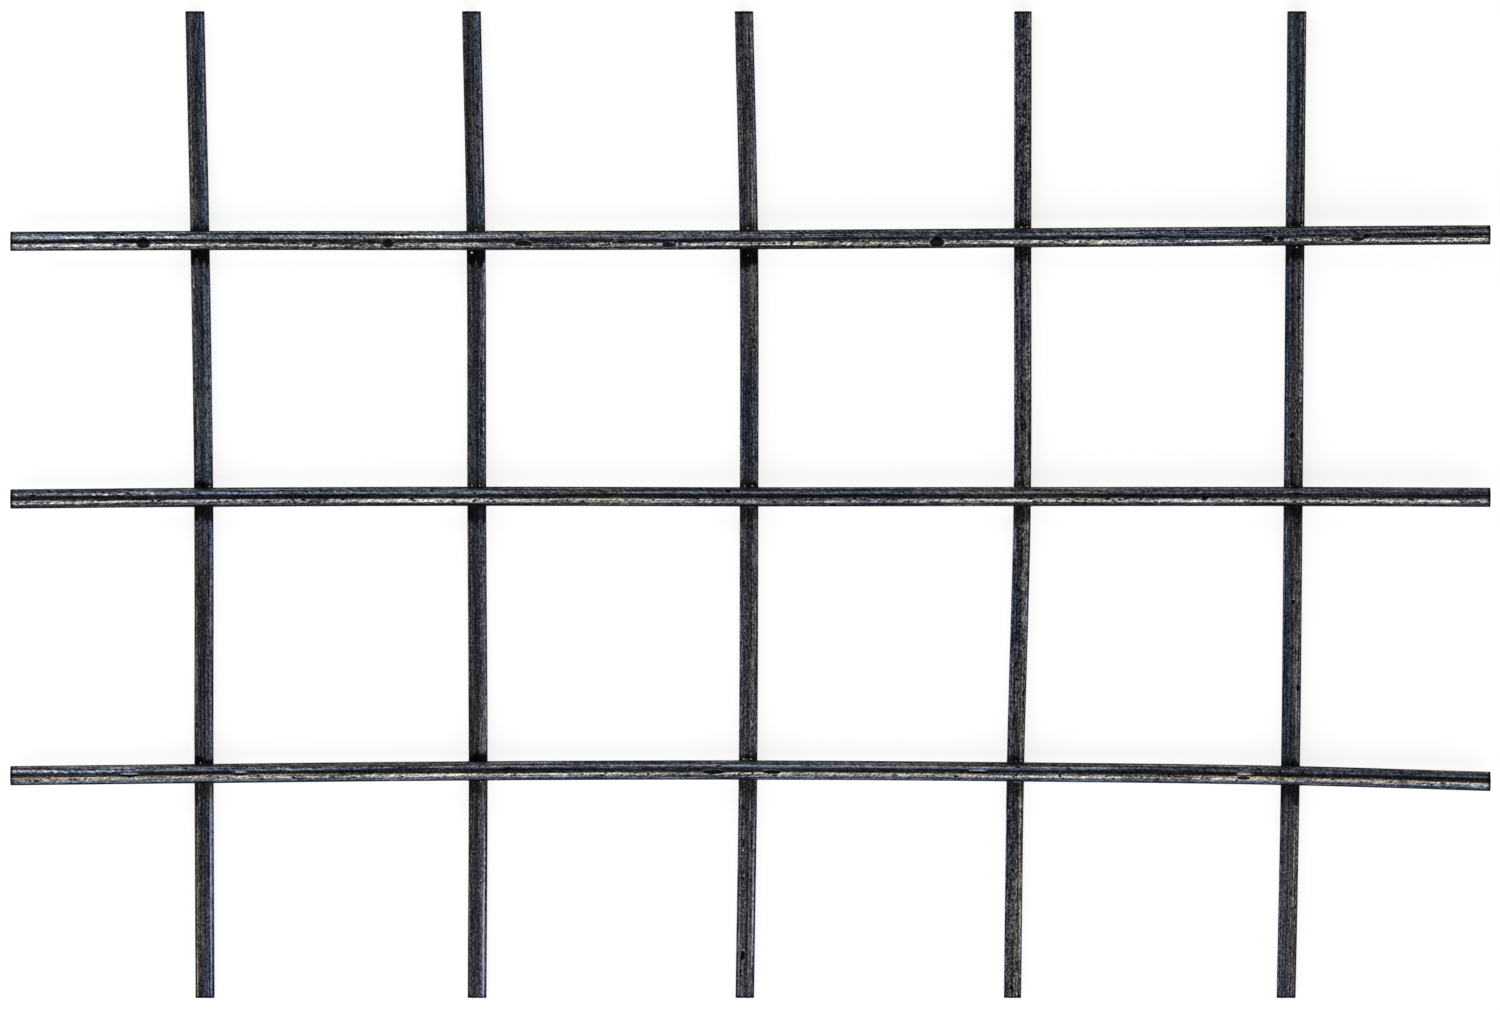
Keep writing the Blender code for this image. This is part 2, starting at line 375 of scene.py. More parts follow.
# Stripes: the wire, from and to in mm along it, its middle and half width in degrees of turn, how much
# lighter (or darker) it is, and how warm (or blue). They are partly streaks in the scale and partly painted
# highlights and shade along the wires.
STRIPES = (
    ("line 3", -137, 137, -13, 7, 0.05, -0.1),
    ("line 3", -137, -50, -32, 9, 0.01, -0.1),
    ("line 3", -98, -48, -29, 9, -0.05, 0.0),
    ("line 3", 54, 137, -30, 9, -0.03, 0.0),
    ("line 3", 0, 137, -32, 10, -0.03, 0.0),
    ("line 3", -137, -103, 5, 7, -0.06, 0.0),
    ("line 3", -58, -50, 5, 7, -0.06, 0.0),
    ("line 3", -77, -60, 3, 9, 0.08, 0.0),
    ("line 3", -137, -99, 25, 8, 0.08, 0.0),
    ("line 3", -137, -99, 52, 12, 0.10, 0.1),
    ("line 3", -137, -60, -14, 7, 0.04, 0.2),
    ("line 3", 30, 137, -14, 8, -0.05, 0.0),
    ("line 3", -1, 50, 52, 12, -0.04, 0.0),
    ("line 3", -128, -104, -19, 7, 0.03, 0.2),
    ("line 3", -78, -55, 24, 14, -0.055, 0.2),
    ("line 3", -68, -56, -17, 6, 0.05, 0.0),
    ("line 3", -50, -14, -42, 12, 0.03, 0.5),
    ("line 3", -137, -4, 14, 6, -0.05, -0.3),
    ("line 3", -50, -8, 24, 12, -0.06, 0.1),
    ("line 3", -14, 9, -10, 2.5, 0.09, -0.2),
    ("line 3", -16, 9, 16, 3, 0.06, 0.1),
    ("line 3", -16, 9, 23, 2.5, -0.08, 0.0),
    ("line 3", 58, 95, 20, 7, 0.03, -0.1),
    ("line 3", 104, 137, 24, 10, -0.05, 0.0),
    ("line 2", -130, -108, -16, 5, 0.03, -0.2),
    ("line 2", -98, -54, -32, 8, -0.03, 0.0),
    ("line 2", 105, 137, -32, 9, 0.03, 0.0),
    ("line 2", -100, -50, -24, 14, -0.015, -0.1),
    ("line 2", -100, 137, 12, 5, -0.02, 0.3),
    ("line 2", -50, 50, 22, 8, 0.02, 0.1),
    ("line 1", -137, -112, -16, 8, 0.10, -0.25),
    ("line 1", -112, 60, -15, 8, 0.08, -0.35),
    ("line 1", -137, -60, -34, 9, -0.06, 0.7),
    ("line 1", -137, -90, 20, 30, 0.0, 0.4),
    ("line 1", -137, -100, 24, 9, 0.06, -0.1),
    ("line 1", -98, -54, -31, 9, 0.04, 0.0),
    ("line 1", 4, 50, 14, 7, -0.03, 0.2),
    ("line 1", 54, 98, 13, 8, 0.07, 0.0),
    ("line 1", -60, 50, -22, 12, 0.04, 0.0),
    ("line 1", -60, 100, -34, 9, 0.0, 0.2),
    ("line 1", -137, 137, 43, 9, 0.07, -0.4),
    ("line 1", -98, -55, 26, 12, 0.015, -0.2),
    ("cross 1", -92, -54, 42, 6, 0.26, 0.3),
    ("cross 1", -92, -83, -46, 4.0, 0.30, 0.9),
    ("cross 1", -92, 0, 30, 6, -0.06, 0.0),
    ("cross 1", -92, -57, -52, 7, 0.02, 1.0),
    ("cross 1", -46, -4, 43, 6, 0.09, -0.2),
    ("cross 1", -46, -4, -44, 7, -0.05, 0.0),
    ("cross 1", -15, -4, 5, 25, 0.03, 0.2),
    ("cross 1", 0, 92, 43, 7, 0.02, 0.0),
    ("cross 1", -60, 50, 30, 12, 0.0, 0.3),
    ("cross 1", 4, 92, -12, 8, 0.03, 0.3),
    ("cross 2", -92, -72, 41, 5, 0.62, 0.3),
    ("cross 2", -74, -58, 44, 5, 0.24, 0.1),
    ("cross 2", -92, -52, 50, 4, 0.05, 0.0),
    ("cross 2", -92, -4, -6, 14, -0.04, 0.0),
    ("cross 2", 56, 92, -34, 18, -0.04, 0.0),
    ("cross 2", 56, 92, 12, 7, 0.06, 0.1),
    ("cross 2", 60, 92, 43, 8, 0.03, 0.0),
    ("cross 2", 9, 36, 48, 6, 0.03, 0.1),
    ("cross 2", 2, 46, 36, 7, -0.03, 0.0),
    ("cross 3", -86, -62, 44, 5, 0.18, 0.0),
    ("cross 3", -92, -53, -46, 8, 0.10, 0.0),
    ("cross 3", -92, -53, 29, 6, -0.04, 0.0),
    ("cross 3", 2, 46, 15, 10, 0.04, 0.0),
    ("cross 3", 2, 46, 42, 7, -0.05, 0.0),
    ("cross 4", -92, 50, 35, 12, 0.03, 0.1),
    ("cross 4", -92, -54, -2, 20, -0.03, 0.0),
    ("cross 4", 50, 92, -5, 10, 0.05, 0.0),
    ("cross 4", 50, 92, 35, 13, -0.06, 0.0),
    ("cross 5", 52, 92, 42, 8, -0.20, 0.0),
    ("cross 5", 2, 46, 8, 16, 0.04, 0.3),
    ("cross 5", -92, -54, 2, 22, 0.06, 0.1),
    ("cross 5", -92, -75, 40, 9, 0.05, 0.4),
    ("cross 5", -46, -3, 14, 8, 0.03, 0.4),
)


def signed(angle):
    """The same angle, from minus half a turn to half a turn."""
    return (angle + math.pi) % math.tau - math.pi


def rows_of(table, wire):
    """A table's rows for this wire, without their first column."""
    return [row[1:] for row in table if row[0] == wire.key]


def weld_places(wire, wires):
    """Where along this wire the others cross it."""
    return [float(one.side(np.array(wire.place))) for one in wires if one.is_line != wire.is_line]


class Skin:
    """A wire's surface on every ring and side: relief in metres, and tone, tint and darkness with painted
    light and shade.
    """

    def __init__(self, wire, along, turn, rng):
        self.wire = wire
        self.along = along
        self.turn = turn
        self.rng = rng
        self.sway = self.noise(0.024, 4)
        self.jitter = self.noise(0.0014, 16)
        self.relief = MM * sum(high * self.noise(length, cells) for high, length, cells in RELIEF_WAVES)
        self.light = 0.025 * self.noise(0.016, 6)
        self.warm = 0.35 * self.noise(0.018, 4)
        # How dark each point is: dark marks, sooty welds and the painted shadows of the line wires
        self.soot_and_shadow = np.zeros_like(self.relief)
        # Degrees of turn, which sway a little along the wire, so that no band has a straight edge
        self.edge = np.degrees(signed(turn))[None, :] + 2.5 * self.sway + 1.2 * self.jitter

    def noise(self, cell_length, cells_round):
        return wire_noise(self.rng, self.along, self.turn, cell_length, cells_round)

    def spot(self, place, middle, half_length, half_width, lean=0.0):
        """The rings that a spot reaches, and how far their points are from its middle, with its edge at 1."""
        reach = 1.6 * (half_length + abs(lean) * half_width)
        near = slice(*np.searchsorted(self.along, (place - reach, place + reach)))
        across = signed(self.turn - middle)[None, :] * self.wire.radius
        off_along = ((self.along[near] - place)[:, None] + lean * across) / half_length
        return near, np.hypot(off_along, across / half_width)

    def scattered(self, start, stop, middle, spread, count):
        """Random places along the wire in one row, each with its turn."""
        for _ in range(count):
            place = self.rng.uniform(start, stop) * MM
            yield place, math.radians(middle + spread * self.rng.uniform(-1, 1))

    def blacken(self, near, soot_and_shadow):
        self.soot_and_shadow[near] = np.maximum(self.soot_and_shadow[near], soot_and_shadow)

    def line_bands(self):
        """Painted light round a line wire: highlights, a dark reflection along the top, and shade on both
        flanks.
        """
        rear, front, rim, front_warmth = LINE_LOOKS[self.wire.key]
        # A painted highlight on the front of the top, over the front lamp's own reflection
        self.light += 0.040 * hump(front + 4, 33, 4, self.edge)
        # Painted shade on the front flank
        self.light -= 0.15 * smoothstep(rim - 4, rim + 9, self.edge)
        # A faint painted highlight on the rear of the top
        self.light += 0.020 * hump(-36, rear - 4, 4, self.edge)
        # Painted shade on the rear flank
        self.light -= 0.05 * smoothstep(44, 60, -self.edge)
        # A little darker all over, and a painted dark reflection along the very top
        self.light -= 0.014 + 0.115 * hump(rear, front, 2.5, self.edge)
        self.warm += front_warmth * hump(26, 70, 8, self.edge)
        self.warm -= 0.35 * hump(-44, rear, 6, self.edge)
        if self.wire.key == "line 1":
            # A thin yellow line in front of the dark top, and a blue one on it
            self.warm += 2.0 * hump(front - 1, front + 7, 2.0, self.edge)
            self.warm -= 0.7 * hump(-18, -6, 3, self.edge)

    def cross_bands(self):
        """Each side has its own painted light and tint, and both flanks are painted in shade."""
        left_light, right_light, left_warmth, right_warmth = CROSS_LOOKS[self.wire.key]
        # A little lighter all over, and painted light on the right side
        self.light += 0.040 + right_light * hump(12, 48, 8, self.edge)
        # Painted shade on the right flank
        self.light -= 0.14 * smoothstep(47, 60, self.edge)
        # Painted light on the left side
        self.light += left_light * hump(-52, -16, 8, self.edge)
        # Painted shade on the left flank
        self.light -= 0.11 * smoothstep(36, 50, -self.edge)
        self.warm += left_warmth * hump(-60, -28, 8, self.edge) - 0.3
        self.warm += right_warmth * hump(20, 54, 6, self.edge)

    def dents(self):
        for place, across, half_length, half_width, deep, darkness in rows_of(DENTS, self.wire):
            middle = math.asin(across * MM / self.wire.radius)
            near, far = self.spot(place * MM, middle, half_length * MM, half_width * MM)
            far = far + 0.10 * self.jitter[near]
            inside = 1 - smoothstep(0.80, 1.05, far)
            lip = smoothstep(0.9, 1.1, far) * (1 - smoothstep(1.15, 1.5, far))
            self.relief[near] += deep * MM * (0.15 * lip - inside)
            self.light[near] += 0.05 * darkness * lip
            self.light[near] *= 1 - inside
            # The bottom of a wide dent is a little lighter than its rim
            lighter_bottom = 0.22 * (1 - smoothstep(0.15, 0.60, far)) if half_width > WIDE_DENT else 0.0
            self.blacken(near, darkness * inside * (1 - lighter_bottom))

    def pits(self):
        for row in rows_of(PIT_ROWS, self.wire):
            for place, turn in self.scattered(*row):
                half_width = self.rng.uniform(0.12, 0.26) * MM
                half_length = half_width * self.rng.uniform(1.0, 2.4)
                near, far = self.spot(place, turn, half_length, half_width)
                inside = 1 - smoothstep(0.5, 1.1, far + 0.15 * self.jitter[near])
                self.relief[near] -= PIT_DEPTH * inside
                self.blacken(near, self.rng.uniform(0.5, 1.0) * inside)

    def scratches(self):
        for place, degree, half_length, half_width, lean, lighter in rows_of(SCRATCHES, self.wire):
            middle = math.radians(degree)
            near, far = self.spot(place * MM, middle, half_length * MM, half_width * MM, lean)
            # Lighter scratches are painted highlights, and darker ones are dark marks
            self.light[near] += lighter * (1 - smoothstep(0.5, 1.15, far + 0.12 * self.jitter[near]))
            if lighter > RIDGE_FROM:
                self.relief[near] += RIDGE_HEIGHT * (1 - smoothstep(0.0, 1.3, far))

    def glints(self):
        for start, stop, middle, spread, count, most in rows_of(GLINT_ROWS, self.wire):
            lean = 1.0 if middle > 0 else -1.0
            for place, turn in self.scattered(start, stop, middle, spread, count):
                half_length = self.rng.uniform(0.18, 0.34) * MM
                near, far = self.spot(place, turn, half_length, GLINT_HALF_WIDTH, lean)
                # Each glint is a painted highlight
                self.light[near] += self.rng.uniform(0.3, 1.0) * most * (1 - smoothstep(0.4, 1.2, far))

    def stripes(self):
        for start, stop, middle, half_width, lighter, warmer in rows_of(STRIPES, self.wire):
            lengthwise = hump(start * MM, stop * MM, 0.003, self.along)[:, None]
            stripe = lengthwise * (1 - smoothstep(0.5, 1.2, np.abs(self.edge - middle) / half_width))
            # Painted highlights and shade, and streaks of the scale
            self.light += lighter * stripe
            self.warm += warmer * stripe

    def burns_and_shadows(self, places):
        """The welds burnt the wires where they meet and squeezed them a little wider; line wires' shadows are
        painted.
        """
        # A line wire meets the others underneath, and a cross wire on its top
        meeting = math.pi if self.wire.is_line else 0.0
        facing = np.cos(self.turn - meeting)[None, :]
        burns_and_shadows = BURNS_AND_SHADOWS.get(self.wire.key, (LINE_BURN,) * len(places))
        for place, (front_burn_and_shadow, rear_burn) in zip(places, burns_and_shadows):
            off = np.abs(self.along - place)[:, None] / wire_radius
            # On a cross wire, the dark reaches further in front of a line wire than behind it, as a painted
            # shadow
            in_front = (self.along < place)[:, None] & (not self.wire.is_line)
            reach = off + np.where(in_front, 0.75, 0.35) * self.jitter + 0.2 * self.sway
            reach = reach - np.where(in_front, 0.95, -0.05)
            # The burn mask also holds the painted shadow in front of each line wire
            burnt = (1 - smoothstep(1.30, 1.95, reach)) * smoothstep(-0.3, 0.6, facing + 0.3 * self.jitter)
            self.blacken(slice(None), np.where(in_front, front_burn_and_shadow, rear_burn) * burnt)
            self.warm += 0.7 * burnt
            self.relief += WELD_SQUEEZE * (1 - smoothstep(0.3, 1.5, off)) * np.abs(np.sin(self.turn))

    def ends(self):
        """The ends are dark for a hair's breadth."""
        from_end = self.wire.marks[-1] - np.abs(self.along)
        self.blacken(slice(None), 0.7 * (1 - smoothstep(0.0002, 0.0006, from_end))[:, None])


def make_skin(wire, wires, along, turn, rng):
    skin = Skin(wire, along, turn, rng)
    if wire.is_line:
        skin.line_bands()
    else:
        skin.cross_bands()
    skin.dents()
    skin.pits()
    skin.scratches()
    skin.glints()
    skin.stripes()
    skin.burns_and_shadows(weld_places(wire, wires))
    skin.ends()
    return skin


# Building a wire's mesh

def grid_quads(rows, segments):
    """Each face's corners and each corner's column, on rings that close on themselves."""
    ring = np.arange(rows)[:, None] * segments
    this_side = np.arange(segments)[None, :]
    next_side = (this_side + 1) % segments
    corners = (ring[:-1] + this_side, ring[:-1] + next_side, ring[1:] + next_side, ring[1:] + this_side)
    return np.stack(corners, -1).reshape(-1, 4)


def mesh_from_grid(name, points, quads, uv, values):
    """A smooth mesh with its map, and with these values at every point."""
    mesh = bpy.data.meshes.new(name)
    mesh.vertices.add(len(points))
    mesh.vertices.foreach_set("co", points.astype(np.float32).ravel())
    mesh.loops.add(quads.size)
    mesh.loops.foreach_set("vertex_index", quads.astype(np.int32).ravel())
    mesh.polygons.add(len(quads))
    mesh.polygons.foreach_set("loop_start", (4 * np.arange(len(quads))).astype(np.int32))
    mesh.polygons.foreach_set("use_smooth", np.ones(len(quads), bool))
    mesh.update(calc_edges=True)
    layer = mesh.uv_layers.new(name=BAKE_MAP)
    layer.uv.foreach_set("vector", uv.astype(np.float32).ravel())
    for key, value in values.items():
        is_vector = value.ndim == 2
        attribute = mesh.attributes.new(key, "FLOAT_VECTOR" if is_vector else "FLOAT", "POINT")
        attribute.data.foreach_set("vector" if is_vector else "value", value.astype(np.float32).ravel())
    return mesh


def end_profile(radius):
    """A cut end's rings, from its middle outwards: how far in from the end each is, and how thick."""
    return (
        (0.00, 0.0),
        (0.00, 0.45 * radius),
        (0.00, 0.80 * radius),
        (0.00, radius - END_ROUNDING),
        (0.015 * MM, radius - 0.35 * END_ROUNDING),
        (0.06 * MM, radius),
    )


def wire_map(wire, along, base, cut_rings):
    """The map: the wire's length folded into strips, one above the other, and its two cuts above them."""
    strips = 5 if wire.is_line else 4
    margin = 0.006
    inner = 1 - 2 * margin
    strips_top = 0.94
    cuts_middle = 0.972
    cut_radius = 0.022
    count = len(along)
    distance = (along - along.min()) / (along.max() - along.min())
    first = np.arange(count - 1)
    strip = np.minimum((distance[first] * strips).astype(int), strips - 1)
    u = [
        margin + inner * np.clip(distance[row] * strips - strip, 0, 1)[:, None] * np.ones((1, SIDES))
        for row in (first, first + 1)
    ]
    v = [
        (strip[:, None] + margin + inner * (np.arange(SIDES) + step)[None, :] / SIDES) * strips_top / strips
        for step in (0, 1)
    ]
    uv = np.stack([np.stack([u[row], v[side]], -1) for row, side in QUAD_CORNERS], 2)
    for rows, middle in ((range(cut_rings - 1), 0.04), (range(count - cut_rings, count - 1), 0.12)):
        for first_row in rows:
            for corner, (row, side) in enumerate(QUAD_CORNERS):
                angle = (np.arange(SIDES) + side) / SIDES * math.tau
                size = cut_radius * base[first_row + row] / wire.radius
                uv[first_row, :, corner, 0] = middle + size * np.cos(angle)
                uv[first_row, :, corner, 1] = cuts_middle + size * np.sin(angle)
    return uv.reshape(-1, 2)


def wire_mesh(wire, wires, order):
    """One wire's mesh, with what its material reads at every point."""
    rng = np.random.default_rng(WIRE_SEED + order)
    rings = LINE_RINGS if wire.is_line else CROSS_RINGS
    reach = wire.marks[-1]
    end = end_profile(wire.radius)
    low = [-reach + inset for inset, _ in end]
    high = [reach - inset for inset, _ in reversed(end)]
    along = np.concatenate([low, np.linspace(-reach + END_ZONE, reach - END_ZONE, rings), high])
    thick = [radius for _, radius in end]
    base = np.concatenate([thick, np.full(rings, wire.radius), thick[::-1]])
    seen = np.linspace(-SEEN_REACH, SEEN_REACH, SEEN_SIDES + 1)
    under = np.linspace(SEEN_REACH, 360 - SEEN_REACH, UNDER_SIDES + 1)[1:-1]
    turn = np.radians(np.concatenate([seen, under])) % math.tau

    skin = make_skin(wire, wires, along, turn, rng)
    whole = (base / wire.radius)[:, None]
    radius = base[:, None] + skin.relief * whole
    # A sheared end is torn in a little
    tear = np.abs(skin.noise(0.01, 7)) * TEAR_DEPTH * whole
    torn = np.zeros_like(radius)
    torn[:len(end)] = tear[:len(end)]
    torn[-len(end):] = -tear[-len(end):]
    points = wire.points(along[:, None] + torn, radius * np.sin(turn), radius * np.cos(turn))

    spread = np.ones_like(radius)
    stock = np.stack([
        spread * (along / MM)[:, None] + PATTERN_SHIFT * order,
        base[:, None] * np.sin(turn) / MM,
        base[:, None] * np.cos(turn) / MM,
    ], -1)
    # Drawing left marks that slant the same way on both sides of the top
    slanting = stock.copy()
    slanting[..., 0] += np.abs(signed(turn))[None, :] * wire.radius / MM
    values = {
        "stock": stock.reshape(-1, 3),
        "slanting": slanting.reshape(-1, 3),
        "light": skin.light.ravel(),
        "warm": skin.warm.ravel(),
        "soot_and_shadow": skin.soot_and_shadow.ravel(),
        "uneven": (UNEVENNESS[wire.key] * spread).ravel(),
        "cut": (spread * (base < 0.97 * wire.radius)[:, None]).ravel(),
    }
    quads = grid_quads(len(along), SIDES)
    uv = wire_map(wire, along, base, len(end))
    return mesh_from_grid(wire.name, points.reshape(-1, 3), quads, uv, values)


# Materials

class Graph:
    """Short ways to write a material's nodes."""

    def __init__(self, name):
        self.material = bpy.data.materials.new(name)
        self.material.use_nodes = True
        self.tree = self.material.node_tree
        self.shader = self.tree.nodes["Principled BSDF"]

    def link(self, value, socket):
        if isinstance(value, (int, float, tuple)):
            socket.default_value = value
        else:
            self.tree.links.new(value, socket)

    def attribute(self, name, output="Fac"):
        made = self.tree.nodes.new("ShaderNodeAttribute")
        made.attribute_name = name
        return made.outputs[output]

    def math(self, operation, a, b=0.0, c=0.0, clamp=False):
        made = self.tree.nodes.new("ShaderNodeMath")
        made.operation = operation
        made.use_clamp = clamp
        for value, socket in zip((a, b, c), made.inputs):
            self.link(value, socket)
        return made.outputs[0]

    def scaled(self, vector, scale):
        made = self.tree.nodes.new("ShaderNodeVectorMath")
        made.operation = "MULTIPLY"
        self.link(vector, made.inputs[0])
        made.inputs[1].default_value = scale
        return made.outputs[0]

    def noise(self, vector, detail, roughness=0.5):
        made = self.tree.nodes.new("ShaderNodeTexNoise")
        self.link(vector, made.inputs["Vector"])
        made.inputs["Scale"].default_value = 1.0
        made.inputs["Detail"].default_value = detail
        made.inputs["Roughness"].default_value = roughness
        return made.outputs["Fac"]

    def voronoi(self, vector):
        made = self.tree.nodes.new("ShaderNodeTexVoronoi")
        self.link(vector, made.inputs["Vector"])
        made.inputs["Scale"].default_value = 1.0
        return made.outputs["Distance"]

    def step(self, value, low, high, out_low=0.0, out_high=1.0):
        made = self.tree.nodes.new("ShaderNodeMapRange")
        made.interpolation_type = "SMOOTHSTEP"
        names = ("Value", "From Min", "From Max", "To Min", "To Max")
        for name, setting in zip(names, (value, low, high, out_low, out_high)):
            self.link(setting, made.inputs[name])
        return made.outputs[0]

    def mix(self, factor, a, b, blend="MIX"):
        made = self.tree.nodes.new("ShaderNodeMix")
        made.data_type = "RGBA"
        made.blend_type = blend
        self.link(factor, made.inputs["Factor"])
        self.link(a, made.inputs[6])
        self.link(b, made.inputs[7])
        return made.outputs[2]

    def bump(self, height, distance):
        made = self.tree.nodes.new("ShaderNodeBump")
        self.link(height, made.inputs["Height"])
        made.inputs["Distance"].default_value = distance
        return made.outputs[0]

    def ramp(self, value, stops):
        made = self.tree.nodes.new("ShaderNodeValToRGB")
        self.link(value, made.inputs[0])
        elements = made.color_ramp.elements
        while len(elements) < len(stops):
            elements.new(0.5)
        for element, (place, colour) in zip(elements, stops):
            element.position = place
            element.color = (*colour, 1.0)
        return made.outputs[0]


# Tones of the scale from its darkest to bare steel. They are read at 0.5 where nothing lightens or darkens it
SCALE_TONES = (
    (0.18, (0.0040, 0.0040, 0.0050)),
    (0.36, (0.022, 0.023, 0.029)),
    (0.44, (0.051, 0.053, 0.062)),
    (0.50, (0.088, 0.090, 0.099)),
    (0.56, (0.150, 0.151, 0.156)),
    (0.64, (0.262, 0.258, 0.250)),
    (0.74, (0.420, 0.410, 0.385)),
    (0.95, (0.800, 0.790, 0.770)),
)
# Tints from blue through none to yellow
TINTS = (
    (0.0, (0.45, 0.58, 1.0)),
    (0.25, (0.72, 0.80, 1.0)),
    (0.5, (1.0, 1.0, 1.0)),
    (0.85, (1.0, 0.88, 0.66)),
    (1.0, (1.0, 0.78, 0.42)),
)
WELD_TONES = (
    (0.35, (0.012, 0.012, 0.014)),
    (0.52, (0.040, 0.038, 0.045)),
    (0.70, (0.150, 0.125, 0.095)),
)
RUST_COLOUR = (0.112, 0.070, 0.038, 1.0)
CUT_COLOUR = (0.17, 0.165, 0.155, 1.0)
BEAD_COLOUR = (0.80, 0.76, 0.62, 1.0)


def steel(name):
    """A steel's nodes, before its colour, roughness and bumps."""
    g = Graph(name)
    g.shader.inputs["Metallic"].default_value = 0.92
    g.shader.inputs["Specular Tint"].default_value = (0.35, 0.35, 0.38, 1.0)
    return g


def drawn_steel(name, line_share, streak_share, grain_share, slant_share):
    """Dark drawn wire: die lines along it, patchy scale, pits, specks of rust, sooty welds and painted light
    and shade.

    The shares are how strong its die lines, its streaks, its grain and its slanting marks are.
    """
    g = steel(name)
    stock = g.attribute("stock", "Vector")
    # Dark marks, sooty welds and the painted shadows beside them
    soot_and_shadow = g.attribute("soot_and_shadow")
    warm = g.attribute("warm")

    lines = g.noise(g.scaled(stock, (0.035, 2.7, 2.7)), 1.0, 0.6)
    streak = g.noise(g.scaled(stock, (0.30, 2.8, 2.8)), 1.0, 0.5)
    grain = g.noise(g.scaled(stock, (2.2, 2.9, 2.9)), 1.0, 0.5)
    slant = g.noise(g.scaled(g.attribute("slanting", "Vector"), (3.0, 0.9, 0.9)), 1.0, 0.5)

    tone = g.math("MULTIPLY", lines, line_share)
    tone = g.math("MULTIPLY_ADD", streak, streak_share, tone)
    tone = g.math("MULTIPLY_ADD", grain, grain_share, tone)
    tone = g.math("MULTIPLY_ADD", slant, slant_share, tone)
    tone = g.math("SUBTRACT", tone, 0.5 * (line_share + streak_share + grain_share + slant_share))
    tone = g.math("MULTIPLY", tone, g.attribute("uneven"))

    specks = g.voronoi(g.scaled(stock, (0.95, 1.5, 1.5)))
    speck_size = g.noise(g.scaled(stock, (0.45, 0.9, 0.9)), 1.0)
    pits = g.math("LESS_THAN", specks, g.step(speck_size, 0.46, 0.80, 0.0, 0.22))
    dark = g.math("MAXIMUM", soot_and_shadow, g.math("MULTIPLY", pits, 0.8))
    tone = g.math("MULTIPLY", tone, g.math("MULTIPLY_ADD", dark, -0.7, 1.0))
    tone = g.math("ADD", tone, g.math("ADD", g.attribute("light"), 0.5))
    tone = g.math("MULTIPLY_ADD", dark, -0.40, tone, clamp=True)
    colour = g.ramp(tone, SCALE_TONES)

    tint = g.ramp(g.math("MULTIPLY_ADD", warm, 0.5, 0.5, clamp=True), TINTS)
    colour = g.mix(1.0, colour, tint, "MULTIPLY")
    rust = g.noise(g.scaled(stock, (0.8, 1.5, 1.5)), 4.0, 0.7)
    rust = g.step(g.math("MULTIPLY_ADD", soot_and_shadow, 0.10, rust), 0.66, 0.76)
    rust = g.math("MULTIPLY", rust, g.math("MULTIPLY_ADD", soot_and_shadow, -0.38, 0.5))
    colour = g.mix(rust, colour, RUST_COLOUR)
    colour = g.mix(g.math("MULTIPLY", g.attribute("cut"), 0.6), colour, CUT_COLOUR)
    g.link(colour, g.shader.inputs["Base Color"])
    g.link(g.step(tone, 0.25, 0.62, 0.40, 0.18), g.shader.inputs["Roughness"])
    g.link(g.bump(tone, 0.00006), g.shader.inputs["Normal"])
    return g.material


def weld_steel():
    """Metal that the weld squeezed out: burnt black, grey and brown, with bare beads."""
    g = steel("burnt_weld_steel")
    stock = g.attribute("stock", "Vector")
    patch = g.noise(g.scaled(stock, (1.6, 1.6, 1.6)), 4.0, 0.6)
    fine = g.noise(g.scaled(stock, (5.0, 5.0, 5.0)), 3.0, 0.6)
    colour = g.mix(g.attribute("bright"), g.ramp(patch, WELD_TONES), BEAD_COLOUR)
    g.link(colour, g.shader.inputs["Base Color"])
    g.link(g.step(patch, 0.3, 0.7, 0.60, 0.36), g.shader.inputs["Roughness"])
    g.link(g.bump(fine, 0.00008), g.shader.inputs["Normal"])
    return g.material


# The welds

# Bare beads that catch the light: the line wire, the cross wire, how far in mm from their crossing to the
# right and towards the back, and their radius in mm
BRIGHT_BEADS = (
    (3, 2, -0.75, -2.20, 0.24),
    (3, 2, 0.10, 1.95, 0.12),
    (3, 3, -0.20, 2.12, 0.16),
    (3, 3, 1.10, 1.98, 0.12),
    (3, 3, -0.10, -2.90, 0.08),
    (3, 4, -0.30, 1.96, 0.14),
    (3, 4, 0.80, 1.98, 0.17),
    (3, 5, 1.20, 1.98, 0.15),
    (3, 5, 0.30, -2.05, 0.13),
    (2, 1, 1.10, 1.95, 0.16),
    (2, 2, -0.85, 1.97, 0.15),
    (2, 2, 0.60, 1.95, 0.12),
    (2, 3, -0.80, 1.97, 0.16),
    (2, 3, 0.60, 1.97, 0.16),
    (2, 4, 0.80, 1.97, 0.16),
    (2, 5, -0.55, 1.92, 0.11),
    (1, 1, -0.60, 1.95, 0.12),
    (1, 2, 0.50, -1.98, 0.12),
    (1, 3, -0.75, 2.00, 0.20),
    (1, 3, 0.55, 2.00, 0.18),
    (1, 4, 0.10, 1.96, 0.14),
    (1, 4, 0.95, 1.99, 0.18),
)
# Dark beads at each weld
SMALL_BEADS = 6
COLLAR_REACH = 1.05 * MM
COLLAR_HEIGHT = 1.4 * MM


def round_noise(rng, angle, cells):
    """Smooth random values from -1 to 1 round a circle."""
    return lattice_weights(angle / math.tau * cells, cells, True) @ rng.uniform(-1, 1, cells)


